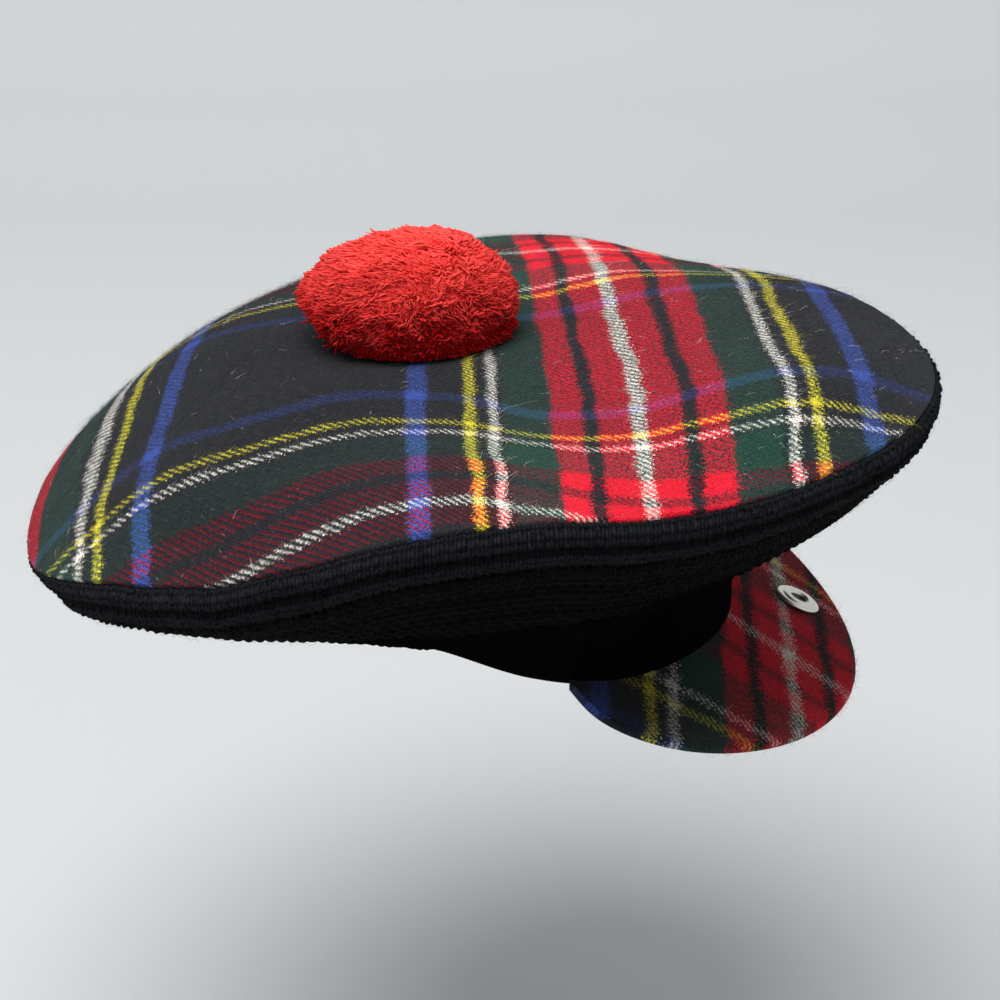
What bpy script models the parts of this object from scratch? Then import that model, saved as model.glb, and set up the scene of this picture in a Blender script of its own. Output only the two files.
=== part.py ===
"""Tartan tam o'shanter with a peak.

A wide soft crown of tartan cloth is sewn to a thick black knitted side, which rolls round the
rim and runs in underneath to a ribbed head band.  A cloth-covered peak with a snap is sewn to
the front of the band, and a yarn pompom sits on the crown.

Metres.  The origin is the centre of the head opening, +Z is up and -Y is the front.
A bearing is in degrees from the front, positive towards +X.
"""
import math

import bmesh
import bpy
import numpy as np
from mathutils import Vector

MM = 0.001

# Crown: a round of cloth, high over the head and hanging at the back.
CROWN_RADIUS = 130 * MM
CROWN_ASIDE = -9.4 * MM
CROWN_BACK = -1.0 * MM
CROWN_CLOTH = 2.0 * MM
RIM_HEIGHT = 62.5 * MM
RIM_DROOP = 50 * MM
DOME_RISE = 8 * MM
DOME_POWER = 3.0
SWELL_FADE = 0.125

# Knitted side: a rolled rim, then an underside that runs in to the band.
KNIT_WALL = 3.0 * MM
ROLL_OUT = 2.0 * MM
ROLL_TUCK = 4.0 * MM
ROLL_DEPTH = 15.5 * MM
ROLL_WIDEST = 0.45
BELLY_OUT = 9 * MM
BELLY_DROP = 15 * MM

# Head band: a ribbed tube that leans down towards the front, and a little to the right side.
BAND_RADIUS = 78 * MM
BAND_WALL = 2.5 * MM
BAND_HEIGHT = 36 * MM
BAND_LEAN = 17 * MM
BAND_TOP_LEAN = 13 * MM
LEAN_BEARING = -18
BAND_DIP = 2.5 * MM
BAND_LAP = 4.5 * MM

# Peak: a crescent that slopes down from the band.
PEAK_DEPTH = 41.2 * MM
PEAK_TIP = 3.0 * MM
PEAK_HALF_ANGLE = 69.5
PEAK_POWER = 3.3
PEAK_SLOPE = 25
PEAK_SIDE_SLOPE = 2
PEAK_THICKNESS = 3.2 * MM

# Snap: a turned socket on top of the peak.
SNAP_RADIUS = 7.5 * MM
SNAP_HOLE = 3.2 * MM
SNAP_HEIGHT = 1.8 * MM
SNAP_EDGE = 0.7 * MM
SNAP_SHOULDER = 2.1 * MM
SNAP_FLOOR = 0.5 * MM
SNAP_BEARING = 6
SNAP_OUT = 0.57

# Pompom: a loaf of cut yarn, long from front to back.
POMPOM_LENGTH = 66 * MM
POMPOM_WIDTH = 56 * MM
POMPOM_HEIGHT = 43 * MM
POMPOM_ASIDE = -1.6 * MM
POMPOM_BACK = 20 * MM
POMPOM_LIFT = 13 * MM
LOCK_LENGTH = 2.2 * MM
DIMPLE_DEPTH = 5 * MM

# Clearance that sewn edges keep to each other.
SEAM_GAP = 0.35 * MM

SEGMENTS = 64

# Shape of the rim all round: droop is a share of RIM_DROOP, roll of ROLL_DEPTH, flare of
# ROLL_OUT and belly of BELLY_DROP.
RIM_COLUMNS = ("bearing", "droop", "roll", "flare", "belly")
RIM = [
    (-174, 0.98, 0.72, -2.3, 0.45),
    (-162, 0.96, 0.80, -1.7, 0.60),
    (-150, 0.82, 0.88, -0.6, 0.75),
    (-136, 0.63, 0.92, 0.4, 0.90),
    (-120, 0.45, 0.96, 0.8, 1.00),
    (-108, 0.25, 1.00, 1.0, 1.00),
    (-96, 0.06, 1.00, 1.0, 1.00),
    (-82, -0.03, 1.00, 1.0, 0.85),
    (-72, 0.00, 1.00, 1.0, 0.65),
    (-60, 0.01, 1.00, 1.0, 0.22),
    (-38, -0.01, 1.00, 1.0, 0.00),
    (2, 0.02, 1.00, 1.0, 0.00),
    (32, 0.03, 1.00, 1.0, 0.30),
    (57, 0.10, 1.00, 1.0, 0.80),
    (79, 0.02, 1.00, 1.0, 1.00),
    (102, 0.12, 1.00, 1.0, 0.90),
    (119, 0.29, 0.95, 0.5, 0.75),
    (136, 0.52, 0.85, -0.5, 0.60),
    (154, 0.74, 0.75, -1.5, 0.45),
    (174, 0.90, 0.70, -2.3, 0.45),
]

# Lower edge of the band: dip is a share of BAND_DIP.
BAND_COLUMNS = ("bearing", "dip")
BAND_EDGE = [
    (-138, -0.5),
    (-96, -1.3),
    (-78, 0.2),
    (-60, 1.0),
    (-45, 0.7),
    (-26, 0.3),
    (12, 0.6),
    (42, 0.2),
    (92, 0.0),
    (162, 0.0),
]

# Soft swells and hollows of the crown: rise is a share of DOME_RISE, out and width of the radius.
SWELLS = [
    {"bearing": -33, "out": 0.76, "rise": 0.80, "width": 0.22, "spread": 38},
    {"bearing": -93, "out": 0.55, "rise": -0.45, "width": 0.25, "spread": 30},
    {"bearing": -130, "out": 0.80, "rise": 0.60, "width": 0.18, "spread": 22},
]


def around(table, column, bearing):
    """Value of a table's column at a bearing, on a smooth closed curve through the rows."""
    count = len(table)
    for i in range(count):
        start = table[i][0]
        end = table[(i + 1) % count][0]
        span = (end - start) % 360
        along = (bearing - start) % 360
        if along <= span:
            break
    a, b, c, d = (table[(i + k) % count][column] for k in (-1, 0, 1, 2))
    t = along / span
    slope_b = (c - a) / 2
    slope_c = (d - b) / 2
    return ((2 * t**3 - 3 * t**2 + 1) * b + (t**3 - 2 * t**2 + t) * slope_b
            + (3 * t**2 - 2 * t**3) * c + (t**3 - t**2) * slope_c)


def outward(bearing):
    """Level direction that a bearing points in."""
    angle = math.radians(bearing)
    return Vector((math.sin(angle), -math.cos(angle), 0))


def turn_between(bearing, other):
    """Smallest turn between two bearings, in degrees."""
    return abs((bearing - other + 180) % 360 - 180)


CROWN_CENTRE = Vector((CROWN_ASIDE, CROWN_BACK, 0))
POMPOM_FOOT = CROWN_CENTRE + Vector((POMPOM_ASIDE, POMPOM_BACK, 0))


def rim_share(column, bearing):
    return around(RIM, RIM_COLUMNS.index(column), bearing)


def rim_height(bearing):
    return RIM_HEIGHT - RIM_DROOP * rim_share("droop", bearing)


def swell(out, bearing):
    """Height of the crown's soft swells at a share of the radius and a bearing."""
    total = 0
    for row in SWELLS:
        off_radius = (out - row["out"]) / row["width"]
        off_bearing = turn_between(bearing, row["bearing"]) / row["spread"]
        total += row["rise"] * math.exp(-off_radius**2 - off_bearing**2)
    return DOME_RISE * total * min(1, (1 - out) / SWELL_FADE)


def crown_point(out, bearing):
    """Point on the crown's upper face at a share of the radius and a bearing."""
    low = rim_height(bearing)
    high = RIM_HEIGHT + DOME_RISE
    place = CROWN_CENTRE + CROWN_RADIUS * out * outward(bearing)
    from_foot = (place - POMPOM_FOOT).length / (POMPOM_WIDTH / 2)
    dimple = DIMPLE_DEPTH * math.exp(-from_foot**2)
    height = low + (high - low) * (1 - out**DOME_POWER) + swell(out, bearing) - dimple
    return place + Vector((0, 0, height))


def crown_height_at(x, y):
    """Height of the crown's upper face over a level point."""
    level = Vector((x, y, 0)) - CROWN_CENTRE
    bearing = math.degrees(math.atan2(level.x, -level.y))
    return crown_point(level.length / CROWN_RADIUS, bearing).z


def toward_lean(bearing):
    return math.cos(math.radians(bearing - LEAN_BEARING))


def band_top(bearing):
    return BAND_HEIGHT - BAND_TOP_LEAN * toward_lean(bearing)


def band_bottom(bearing):
    dip = around(BAND_EDGE, BAND_COLUMNS.index("dip"), bearing)
    return -BAND_LEAN * toward_lean(bearing) - BAND_DIP * dip


def bearings(count=SEGMENTS):
    return [-180 + 360 * i / count for i in range(count)]


def new_object(name, points, faces, colour, roughness, metallic=0.0, sharp=40):
    """One named object with its own material, its faces pointing out."""
    mesh = bpy.data.meshes.new(name)
    mesh.from_pydata([tuple(p) for p in points], [], faces)
    work = bmesh.new()
    work.from_mesh(mesh)
    bmesh.ops.recalc_face_normals(work, faces=work.faces)
    if work.calc_volume(signed=True) < 0:
        bmesh.ops.reverse_faces(work, faces=work.faces)
    work.to_mesh(mesh)
    work.free()
    mesh.shade_smooth()
    mesh.set_sharp_from_angle(angle=math.radians(sharp))
    material = bpy.data.materials.new(name)
    material.use_nodes = True
    shader = material.node_tree.nodes["Principled BSDF"]
    shader.inputs["Base Color"].default_value = (*colour, 1)
    shader.inputs["Roughness"].default_value = roughness
    shader.inputs["Metallic"].default_value = metallic
    mesh.materials.append(material)
    thing = bpy.data.objects.new(name, mesh)
    bpy.context.collection.objects.link(thing)
    return thing


def ring_faces(rings, count, closed):
    """Faces between neighbouring rings of points; closed joins the last ring to the first."""
    faces = []
    for r in range(rings if closed else rings - 1):
        upper = r * count
        lower = (r + 1) % rings * count
        for i in range(count):
            j = (i + 1) % count
            faces.append((upper + i, upper + j, lower + j, lower + i))
    return faces


def inner_skin(rings, wall, inward):
    """Rings moved by a wall's thickness along the surface's normal, to the side of inward."""
    grid = np.array([[tuple(p) for p in ring] for ring in rings])
    along = np.gradient(grid, axis=0)
    across = np.roll(grid, -1, axis=1) - np.roll(grid, 1, axis=1)
    normal = np.cross(along, across)
    normal /= np.linalg.norm(normal, axis=2, keepdims=True)
    middle = len(rings) // 4
    if np.dot(normal[middle, 0], tuple(inward)) < 0:
        normal = -normal
    return grid + wall * normal


def smooth_path(knots, start, end, count):
    """Points along a smooth curve through knots, with the directions of its two ends given."""
    lengths = [(b - a).length for a, b in zip(knots, knots[1:])]
    tangents = [start.normalized()]
    for i in range(1, len(knots) - 1):
        before = (knots[i] - knots[i - 1]) / lengths[i - 1]
        after = (knots[i + 1] - knots[i]) / lengths[i]
        tangents.append((before * lengths[i] + after * lengths[i - 1]).normalized())
    tangents.append(end.normalized())
    total = sum(lengths)
    points = []
    for k in range(count):
        place = total * k / (count - 1)
        i = 0
        while i < len(lengths) - 1 and place > lengths[i]:
            place -= lengths[i]
            i += 1
        t = min(place / lengths[i], 1)
        points.append((2 * t**3 - 3 * t**2 + 1) * knots[i]
                      + (t**3 - 2 * t**2 + t) * lengths[i] * tangents[i]
                      + (3 * t**2 - 2 * t**3) * knots[i + 1]
                      + (t**3 - t**2) * lengths[i] * tangents[i + 1])
    return points


def seam_direction(bearing):
    """Direction in which the crown's upper face leaves its edge, out and down."""
    step = 0.02
    return (crown_point(1, bearing) - crown_point(1 - step, bearing)).normalized()


def seam_normal(bearing):
    """Upward normal of the crown's face at its edge."""
    step = 1
    around_rim = crown_point(1, bearing + step) - crown_point(1, bearing - step)
    normal = around_rim.cross(seam_direction(bearing)).normalized()
    return normal if normal.z > 0 else -normal


def make_crown():
    rows = 11
    outs = [math.sin(math.pi / 2 * (1 - r / rows)) for r in range(rows)]
    top = [[crown_point(out, b) for b in bearings()] for out in outs]
    under = inner_skin(top, CROWN_CLOTH, inward=(0, 0, -1))
    # The edge is cut square to the cloth, and the knitted side is cut the same way.
    under[0] = [tuple(p - CROWN_CLOTH * seam_normal(b)) for p, b in zip(top[0], bearings())]
    points = [p for ring in top for p in ring] + [Vector(p) for ring in under for p in ring]
    count = SEGMENTS
    faces = ring_faces(rows, count, closed=False)
    faces += [tuple(rows * count + i for i in face[::-1]) for face in faces]
    middle = crown_point(0, 0)
    points += [middle, middle - Vector((0, 0, CROWN_CLOTH))]
    for i in range(count):
        j = (i + 1) % count
        last_top = (rows - 1) * count
        last_under = (2 * rows - 1) * count
        faces.append((last_top + i, last_top + j, len(points) - 2))
        faces.append((last_under + j, last_under + i, len(points) - 1))
        faces.append((j, i, rows * count + i, rows * count + j))
    return new_object("crown", points, faces, (0.08, 0.05, 0.06), 0.95)


def knit_section(bearing, count):
    """Outer face of the knitted side at one bearing, from the seam round the rim to the band."""
    out = outward(bearing)
    up = Vector((0, 0, 1))
    leave = seam_direction(bearing)
    seam = crown_point(1, bearing)
    seam_start = seam + SEAM_GAP * leave
    depth = ROLL_DEPTH * rim_share("roll", bearing)
    flare = ROLL_OUT * rim_share("flare", bearing)
    widest = seam + flare * out - ROLL_WIDEST * depth * up
    lowest = seam + (flare - ROLL_OUT - ROLL_TUCK) * out - depth * up
    lap = (BAND_RADIUS + SEAM_GAP) * out + (band_top(bearing) - BAND_LAP) * up
    drop = BELLY_DROP * rim_share("belly", bearing)
    belly = lap + BELLY_OUT * out - drop * up
    return smooth_path([seam_start, widest, lowest, belly, lap], leave, -out, count)


def make_knit_side():
    rows = 18
    sections = [knit_section(b, rows) for b in bearings()]
    outer = [[section[r] for section in sections] for r in range(rows)]
    inner = inner_skin(outer, KNIT_WALL, inward=-outward(bearings()[0]))
    # The first ring is cut like the crown's edge, and the last lies square on the band.
    inner[0] = [tuple(p - KNIT_WALL * seam_normal(b)) for p, b in zip(outer[0], bearings())]
    up = Vector((0, 0, 1))
    inner[-1] = [tuple(p + KNIT_WALL * up) for p in outer[-1]]
    points = [p for ring in outer for p in ring]
    points += [Vector(p) for ring in inner[::-1] for p in ring]
    faces = ring_faces(2 * rows, SEGMENTS, closed=True)
    return new_object("knit_side", points, faces, (0.02, 0.02, 0.022), 0.95)


def make_head_band():
    inner_radius = BAND_RADIUS - BAND_WALL
    rings = []
    for share in (0, 0.5, 1):
        rings.append([BAND_RADIUS * outward(b)
                      + Vector((0, 0, band_bottom(b) * (1 - share) + band_top(b) * share))
                      for b in bearings()])
    for share in (1, 0.5, 0):
        rings.append([inner_radius * outward(b)
                      + Vector((0, 0, band_bottom(b) * (1 - share) + band_top(b) * share))
                      for b in bearings()])
    points = [p for ring in rings for p in ring]
    return new_object("head_band", points, ring_faces(len(rings), SEGMENTS, closed=True),
                      (0.015, 0.015, 0.017), 0.9)


def peak_depth(bearing):
    turn = min(abs(bearing) / PEAK_HALF_ANGLE, 1)
    return PEAK_TIP + (PEAK_DEPTH - PEAK_TIP) * (1 - turn**PEAK_POWER) ** (1 / PEAK_POWER)


def peak_point(share, bearing, up_share):
    """Point of the peak: share runs from the band to its edge, up_share through its thickness."""
    out = outward(bearing)
    turn = (bearing / PEAK_HALF_ANGLE) ** 2
    slope = math.radians(PEAK_SLOPE * (1 - turn) + PEAK_SIDE_SLOPE * turn)
    along = math.cos(slope) * out - Vector((0, 0, math.sin(slope)))
    normal = math.sin(slope) * out + Vector((0, 0, math.cos(slope)))
    foot = (BAND_RADIUS + SEAM_GAP) * out + Vector((0, 0, band_bottom(bearing)))
    # The foot slides along the band's face, so that the inner edge stays square on it.
    lift = PEAK_THICKNESS * (up_share - 0.5)
    return (foot + peak_depth(bearing) * share * along + lift * normal
            - math.tan(slope) * lift * (1 - share) * along * math.cos(slope))


def make_peak():
    columns = 36
    spread = [PEAK_HALF_ANGLE * math.sin(math.pi / 2 * (2 * i / columns - 1))
              for i in range(columns + 1)]
    # A loop round the peak's section: in along the top, round the edge and back underneath.
    loop = [(0, 1), (0.35, 1), (0.68, 1), (0.9, 1), (0.975, 0.86), (1, 0.5),
            (0.975, 0.14), (0.9, 0), (0.68, 0), (0.35, 0), (0, 0)]
    points = [peak_point(share, b, up) for b in spread for share, up in loop]
    around_loop = len(loop)
    faces = []
    for i in range(columns):
        for k in range(around_loop):
            n = (k + 1) % around_loop
            faces.append((i * around_loop + k, i * around_loop + n,
                          (i + 1) * around_loop + n, (i + 1) * around_loop + k))
    faces.append(tuple(range(around_loop))[::-1])
    faces.append(tuple(columns * around_loop + k for k in range(around_loop)))
    return new_object("peak", points, faces, (0.35, 0.03, 0.05), 0.95)


def make_snap():
    """A turned cup: a domed ring with a flat crest round a blind hole."""
    count = 32
    lip = SNAP_HEIGHT - SNAP_EDGE / 2
    profile = [(SNAP_HOLE, SNAP_FLOOR), (SNAP_HOLE, lip), (SNAP_HOLE + SNAP_EDGE, SNAP_HEIGHT),
               (SNAP_RADIUS - SNAP_SHOULDER, SNAP_HEIGHT), (SNAP_RADIUS - SNAP_EDGE, lip),
               (SNAP_RADIUS, SNAP_EDGE), (SNAP_RADIUS - SNAP_EDGE, 0)]
    points = []
    for radius, height in profile:
        points += [radius * outward(b) + Vector((0, 0, height)) for b in bearings(count)]
    faces = ring_faces(len(profile), count, closed=False)
    faces.append(tuple(range(count)))
    faces.append(tuple((len(profile) - 1) * count + i for i in range(count))[::-1])
    snap = new_object("snap", points, faces, (0.75, 0.75, 0.73), 0.25, metallic=1.0, sharp=30)
    centre = peak_point(SNAP_OUT, SNAP_BEARING, 1)
    step = 0.05
    along = peak_point(SNAP_OUT + step, SNAP_BEARING, 1) - centre
    across = peak_point(SNAP_OUT, SNAP_BEARING + 1, 1) - centre
    normal = across.cross(along).normalized()
    if normal.z < 0:
        normal = -normal
    snap.rotation_mode = "QUATERNION"
    snap.rotation_quaternion = Vector((0, 0, 1)).rotation_difference(normal)
    snap.location = centre + 2 * SEAM_GAP * normal
    return snap


def make_pompom():
    """A loaf of yarn whose locks stand out of one core; its base follows the crown."""
    work = bmesh.new()
    bmesh.ops.create_icosphere(work, subdivisions=3, radius=1)
    locks = {tuple(round(c, 4) for c in v.co) for v in work.verts}
    work.free()
    work = bmesh.new()
    bmesh.ops.create_icosphere(work, subdivisions=4, radius=1)
    half = Vector((POMPOM_WIDTH / 2, POMPOM_LENGTH / 2, POMPOM_HEIGHT / 2))
    centre = POMPOM_FOOT.copy()
    centre.z = crown_height_at(POMPOM_FOOT.x, POMPOM_FOOT.y) + POMPOM_LIFT
    for vertex in work.verts:
        direction = vertex.co.normalized()
        is_lock = tuple(round(c, 4) for c in vertex.co) in locks
        length = 0 if is_lock else -LOCK_LENGTH
        core = Vector((direction.x * (half.x + length), direction.y * (half.y + length),
                       direction.z * (half.z + length)))
        place = centre + core
        floor = crown_height_at(place.x, place.y) + 2 * SEAM_GAP
        place.z = max(place.z, floor)
        vertex.co = place
    mesh = bpy.data.meshes.new("shape")
    work.to_mesh(mesh)
    work.free()
    points = [v.co.copy() for v in mesh.vertices]
    faces = [tuple(p.vertices) for p in mesh.polygons]
    bpy.data.meshes.remove(mesh)
    return new_object("pompom", points, faces, (0.75, 0.04, 0.03), 0.95, sharp=180)


def main():
    for thing in list(bpy.data.objects):
        bpy.data.objects.remove(thing, do_unlink=True)
    make_crown()
    make_knit_side()
    make_head_band()
    make_peak()
    make_snap()
    make_pompom()


main()
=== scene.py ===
# %% [markdown]
# # A tartan tam o'shanter with a peak
#
# The hat is a wide round of brushed wool tartan, sewn to a thick black knitted side that rolls
# round the rim and runs in to a ribbed band.  A covered peak with a metal snap hangs from the
# band, and a pompom of cut yarn sits on the crown.  The frame brings the solids of these pieces
# at their real size.  Here each one gets a finer skin in the same place: cloth, stitches, ribs
# and yarn, and a material that works at the scale of its threads.

# %% The frame
import math

import bpy
import numpy as np
from mathutils import Matrix, Vector, noise
from mathutils.bvhtree import BVHTree


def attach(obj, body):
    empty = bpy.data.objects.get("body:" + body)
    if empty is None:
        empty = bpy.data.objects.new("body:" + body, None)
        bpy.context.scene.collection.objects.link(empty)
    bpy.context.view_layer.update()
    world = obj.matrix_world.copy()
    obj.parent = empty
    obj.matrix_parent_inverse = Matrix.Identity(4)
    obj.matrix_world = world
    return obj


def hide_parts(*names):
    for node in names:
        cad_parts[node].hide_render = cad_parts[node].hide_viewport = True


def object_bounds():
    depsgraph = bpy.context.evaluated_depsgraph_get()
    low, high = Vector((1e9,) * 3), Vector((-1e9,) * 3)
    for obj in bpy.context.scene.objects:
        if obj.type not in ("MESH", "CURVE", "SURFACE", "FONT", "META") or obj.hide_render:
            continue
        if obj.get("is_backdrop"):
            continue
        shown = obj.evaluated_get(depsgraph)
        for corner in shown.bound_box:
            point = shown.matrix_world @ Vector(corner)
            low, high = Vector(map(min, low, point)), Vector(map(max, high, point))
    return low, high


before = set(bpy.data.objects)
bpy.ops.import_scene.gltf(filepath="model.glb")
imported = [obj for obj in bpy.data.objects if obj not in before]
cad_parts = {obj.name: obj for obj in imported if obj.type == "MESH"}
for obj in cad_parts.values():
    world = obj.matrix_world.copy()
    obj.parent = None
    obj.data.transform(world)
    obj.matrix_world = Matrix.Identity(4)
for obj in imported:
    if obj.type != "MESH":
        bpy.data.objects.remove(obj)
cad_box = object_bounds()
MM = 0.001
chance = np.random.default_rng(11)
print("nodes:", ", ".join(sorted(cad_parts)))

# %% [markdown]
# ## The camera
#
# The picture was taken from the wearer's right, a little above the crown, with a long lens from
# about 0.7 m.  A long lens keeps the far rim almost as big as the near one.  The camera is built
# from its three axes, so that nothing in it depends on how the hat is turned.

# %% Camera
ELEVATION = math.radians(22)
DISTANCE = 0.7164
LENS, SENSOR = 86.4, 36  # mm
PICTURE = 1000  # pixels across and down
AIM = Vector((0, -0.0082, 0.0130))

back = Vector((-math.cos(ELEVATION), 0, math.sin(ELEVATION)))
right = Vector((0, -1, 0))
up = back.cross(right)
lens = bpy.data.cameras.new("camera")
lens.lens = LENS
lens.sensor_width = SENSOR
camera = bpy.data.objects.new("camera", lens)
camera_place = AIM + DISTANCE * back
camera.matrix_world = Matrix.Translation(camera_place) @ Matrix((right, up, back)).transposed().to_4x4()
bpy.context.scene.collection.objects.link(camera)
bpy.context.scene.camera = camera
print("camera at", [round(c, 3) for c in camera_place])

# %% [markdown]
# ## Writing materials as sums
#
# A shader is a graph of sockets.  Long graphs are hard to read as calls, so one small class wraps
# a socket and lets Python's signs add the Math nodes.  `1 - mask` then reads as it does on paper.
# Everything that isn't a sum comes from one method, which takes the kind of node, its settings
# and what goes into its sockets.

# %% A socket that can be reckoned with
class Wire:
    """A value that runs between two nodes of a material."""

    def __init__(self, paint, socket):
        self.paint = paint
        self.socket = socket

    def sum(self, operation, first, second):
        return self.paint.node("ShaderNodeMath", {"operation": operation}, {0: first, 1: second})

    def __add__(self, other):
        return self.sum("ADD", self, other)

    def __radd__(self, other):
        return self.sum("ADD", other, self)

    def __sub__(self, other):
        return self.sum("SUBTRACT", self, other)

    def __rsub__(self, other):
        return self.sum("SUBTRACT", other, self)

    def __mul__(self, other):
        return self.sum("MULTIPLY", self, other)

    def __rmul__(self, other):
        return self.sum("MULTIPLY", other, self)

    def __truediv__(self, other):
        return self.sum("DIVIDE", self, other)

    def __rtruediv__(self, other):
        return self.sum("DIVIDE", other, self)

    def __mod__(self, other):
        return self.sum("FLOORED_MODULO", self, other)

    def size(self):
        return self.sum("ABSOLUTE", self, 0)

    def wave(self):
        return self.sum("SINE", self, 0)

    def held(self):
        """The value kept between 0 and 1."""
        return self.paint.node("ShaderNodeClamp", {}, {0: self})


# %% A material's nodes
class Paint:
    """One material, made node by node."""

    def __init__(self, name):
        self.material = bpy.data.materials.new(name)
        self.material.use_nodes = True
        self.tree = self.material.node_tree
        self.shader = self.tree.nodes["Principled BSDF"]

    def node(self, kind, settings, inputs, output=0):
        made = self.tree.nodes.new(kind)
        for name, value in settings.items():
            if name == "stops":
                self.set_stops(made.color_ramp, value)
            else:
                setattr(made, name, value)
        for key, value in inputs.items():
            self.feed(made.inputs[key], value)
        return Wire(self, made.outputs[output])

    def set_stops(self, ramp, stops):
        while len(ramp.elements) < len(stops):
            ramp.elements.new(1)
        for element, (place, colour) in zip(ramp.elements, stops):
            element.position = place
            element.color = (*colour, 1)

    def feed(self, socket, value):
        if isinstance(value, Wire):
            self.tree.links.new(value.socket, socket)
        else:
            socket.default_value = value

    def mix(self, share, first, second, blend="MIX"):
        """Two colours mixed; a share of 0 is the first."""
        return self.node("ShaderNodeMix", {"data_type": "RGBA", "blend_type": blend},
                         {0: share, 6: first, 7: second}, output=2)

    def grain(self, at, per_metre, detail=2, rough=0.5):
        """Cloudy noise from 0 to 1, with so many lumps in a metre."""
        return self.node("ShaderNodeTexNoise", {},
                         {"Vector": at, "Scale": per_metre, "Detail": detail, "Roughness": rough})

    def stretch(self, at, degrees, times):
        """A place drawn out one way, so that noise read there makes streaks."""
        return self.node("ShaderNodeMapping", {"vector_type": "TEXTURE"},
                         {"Vector": at, "Rotation": (0, 0, math.radians(degrees)), "Scale": (times, 1, 1)})

    def bump(self, height, depth):
        """A normal bent by a height from 0 to 1, worth a depth in metres."""
        return self.node("ShaderNodeBump", {}, {"Height": height, "Strength": 1.0, "Distance": depth})

    def dull(self, colour, tone):
        """A colour made darker or lighter by a tone, 1 being no change."""
        grey = self.node("ShaderNodeCombineColor", {}, {0: tone, 1: tone, 2: tone})
        return self.mix(1.0, colour, grey, "MULTIPLY")

    def surface(self, **values):
        for name, value in values.items():
            self.feed(self.shader.inputs[name.replace("_", " ").title().replace("Ior", "IOR")], value)
        return self.material


# %% [markdown]
# ## Meshes from rows of points
#
# Nearly every piece of this hat is a skin swept in rows: rings round the crown, rings down the
# knitted side, loops round the peak.  So one helper turns a block of rows into faces, and another
# makes the object, puts its material on and tells the frame what it stands for.

# %% Helpers for skins
def row_faces(rows, count, wrap=True):
    """Four-cornered faces between neighbouring rows of count points."""
    r, i = np.meshgrid(np.arange(rows - 1), np.arange(count if wrap else count - 1), indexing="ij")
    j = (i + 1) % count
    near, far = r * count, (r + 1) * count
    return np.stack([near + i, near + j, far + j, far + i], -1).reshape(-1, 4)


def make_piece(name, points, faces, material, stands_for=(), uv=None, around_u=None):
    """An object from points and lists of faces, riding on the hat; uv is a pair for each point.

    Where u counts once round the hat, around_u is its count, so that the last face doesn't run back.
    """
    faces = [np.asarray(f) for f in faces]
    corners = np.concatenate([f.ravel() for f in faces])
    sizes = np.concatenate([np.full(len(f), f.shape[1]) for f in faces])
    mesh = bpy.data.meshes.new(name)
    mesh.vertices.add(len(points))
    mesh.vertices.foreach_set("co", np.asarray(points, float).ravel())
    mesh.loops.add(len(corners))
    mesh.loops.foreach_set("vertex_index", corners)
    mesh.polygons.add(len(sizes))
    mesh.polygons.foreach_set("loop_start", np.concatenate([[0], np.cumsum(sizes)[:-1]]))
    mesh.update(calc_edges=True)
    mesh.shade_smooth()
    if uv is not None:
        layer = mesh.uv_layers.new(name="cloth")
        spots = np.asarray(uv, float)[corners]
        if around_u:
            own = spots.reshape(-1, 4, 2)
            jump = own[..., 0].max(1) - own[..., 0].min(1) > around_u / 2
            own[jump, :, 0] += np.where(own[jump, :, 0] < around_u / 2, around_u, 0)
        layer.data.foreach_set("uv", spots.ravel())
    mesh.materials.append(material)
    piece = bpy.data.objects.new(name, mesh)
    bpy.context.scene.collection.objects.link(piece)
    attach(piece, "root")
    if stands_for:
        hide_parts(*stands_for)
    print(name, sum(len(f) * (f.shape[1] - 2) for f in faces), "triangles")
    return piece


def curve(t, begin, end, leave, arrive):
    """Smooth curves from begin to end, with slopes at both ends, at shares t of the way."""
    return ((2 * t**3 - 3 * t**2 + 1) * begin + (t**3 - 2 * t**2 + t) * leave
            + (3 * t**2 - 2 * t**3) * end + (t**3 - t**2) * arrive)


def smooth_read(stops, values, at):
    """Values read at places on smooth curves through stops."""
    stops = np.asarray(stops, float)
    values = np.asarray(values, float)
    slopes = np.gradient(values, stops, axis=0)
    i = np.clip(np.searchsorted(stops, at, side="right") - 1, 0, len(stops) - 2)
    span = stops[i + 1] - stops[i]
    t = np.clip((at - stops[i]) / span, 0, 1)
    if values.ndim > 1:
        own = np.arange(len(at))
        a, b, m, n = values[i, own], values[i + 1, own], slopes[i, own], slopes[i + 1, own]
    else:
        a, b, m, n = values[i], values[i + 1], slopes[i], slopes[i + 1]
    return curve(t, a, b, span * m, span * n)


def ripple(points, lump, seed=0.0):
    """Soft noise from -1 to 1 at each point, with lumps of a given size."""
    return np.array([noise.noise(Vector((p[0] / lump + seed, p[1] / lump, p[2] / lump))) for p in points])


# %% [markdown]
# ## The rules of the shape
#
# The solids in the frame are coarse, and a stitch is only 2 mm wide, so the skins aren't cut from
# them.  They follow the same rules that shaped the solids, read as finely as each piece needs.  A
# bearing is in degrees from the front, and the table gives how far the rim hangs, how deep it
# rolls, how far it flares and how far its underside bellies at each bearing.

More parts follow.
